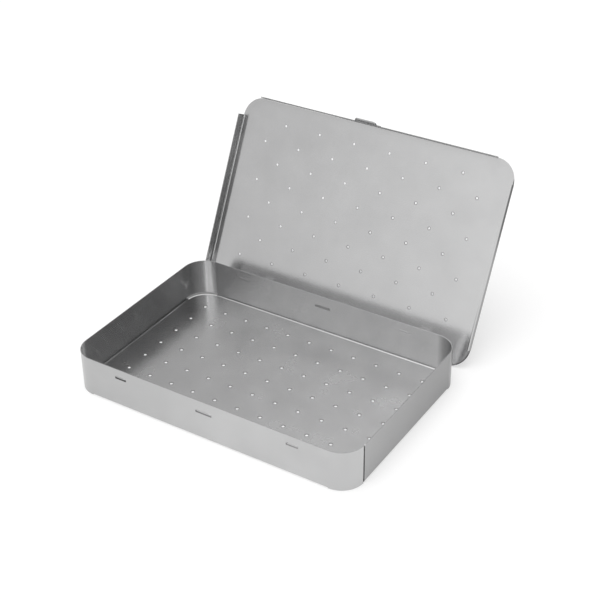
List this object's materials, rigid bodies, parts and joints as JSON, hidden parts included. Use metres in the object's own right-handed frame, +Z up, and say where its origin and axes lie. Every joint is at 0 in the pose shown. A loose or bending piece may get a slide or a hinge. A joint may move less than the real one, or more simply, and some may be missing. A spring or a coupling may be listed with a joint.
{
  "type": "sterilization container",
  "caption": "Shallow perforated sheet metal tray with a loose perforated lid that stands open behind it, for sterilizing and storing surgical instruments.",
  "frame": {"origin": "centre of the footprint that the tray and its open lid share, on the surface they stand on", "axes": "+X to the right along the tray's long side, +Y from the front wall towards the lid, +Z up"},
  "size_m": [0.2022, 0.2026, 0.1277],
  "materials": {
    "wall_band": "satin stainless steel, fine grain along the strip",
    "bottom_plate": "satin stainless steel with a dull sheen",
    "lid": "satin stainless steel, fine grain along its length",
    "thumb_tab": "satin stainless steel"
  },
  "bodies": {
    "tray": {"wall_band": "wall_band", "bottom_plate": "bottom_plate"},
    "lid": {"lid": "lid", "thumb_tab": "thumb_tab"}
  },
  "joints": [
    {"name": "lid_swing", "type": "hinge", "parent": "tray", "child": "lid", "pos_m": [0, 0.02843, 0.0119], "axis": [1, 0, 0], "range_deg": [0, 116.5]}
  ]
}
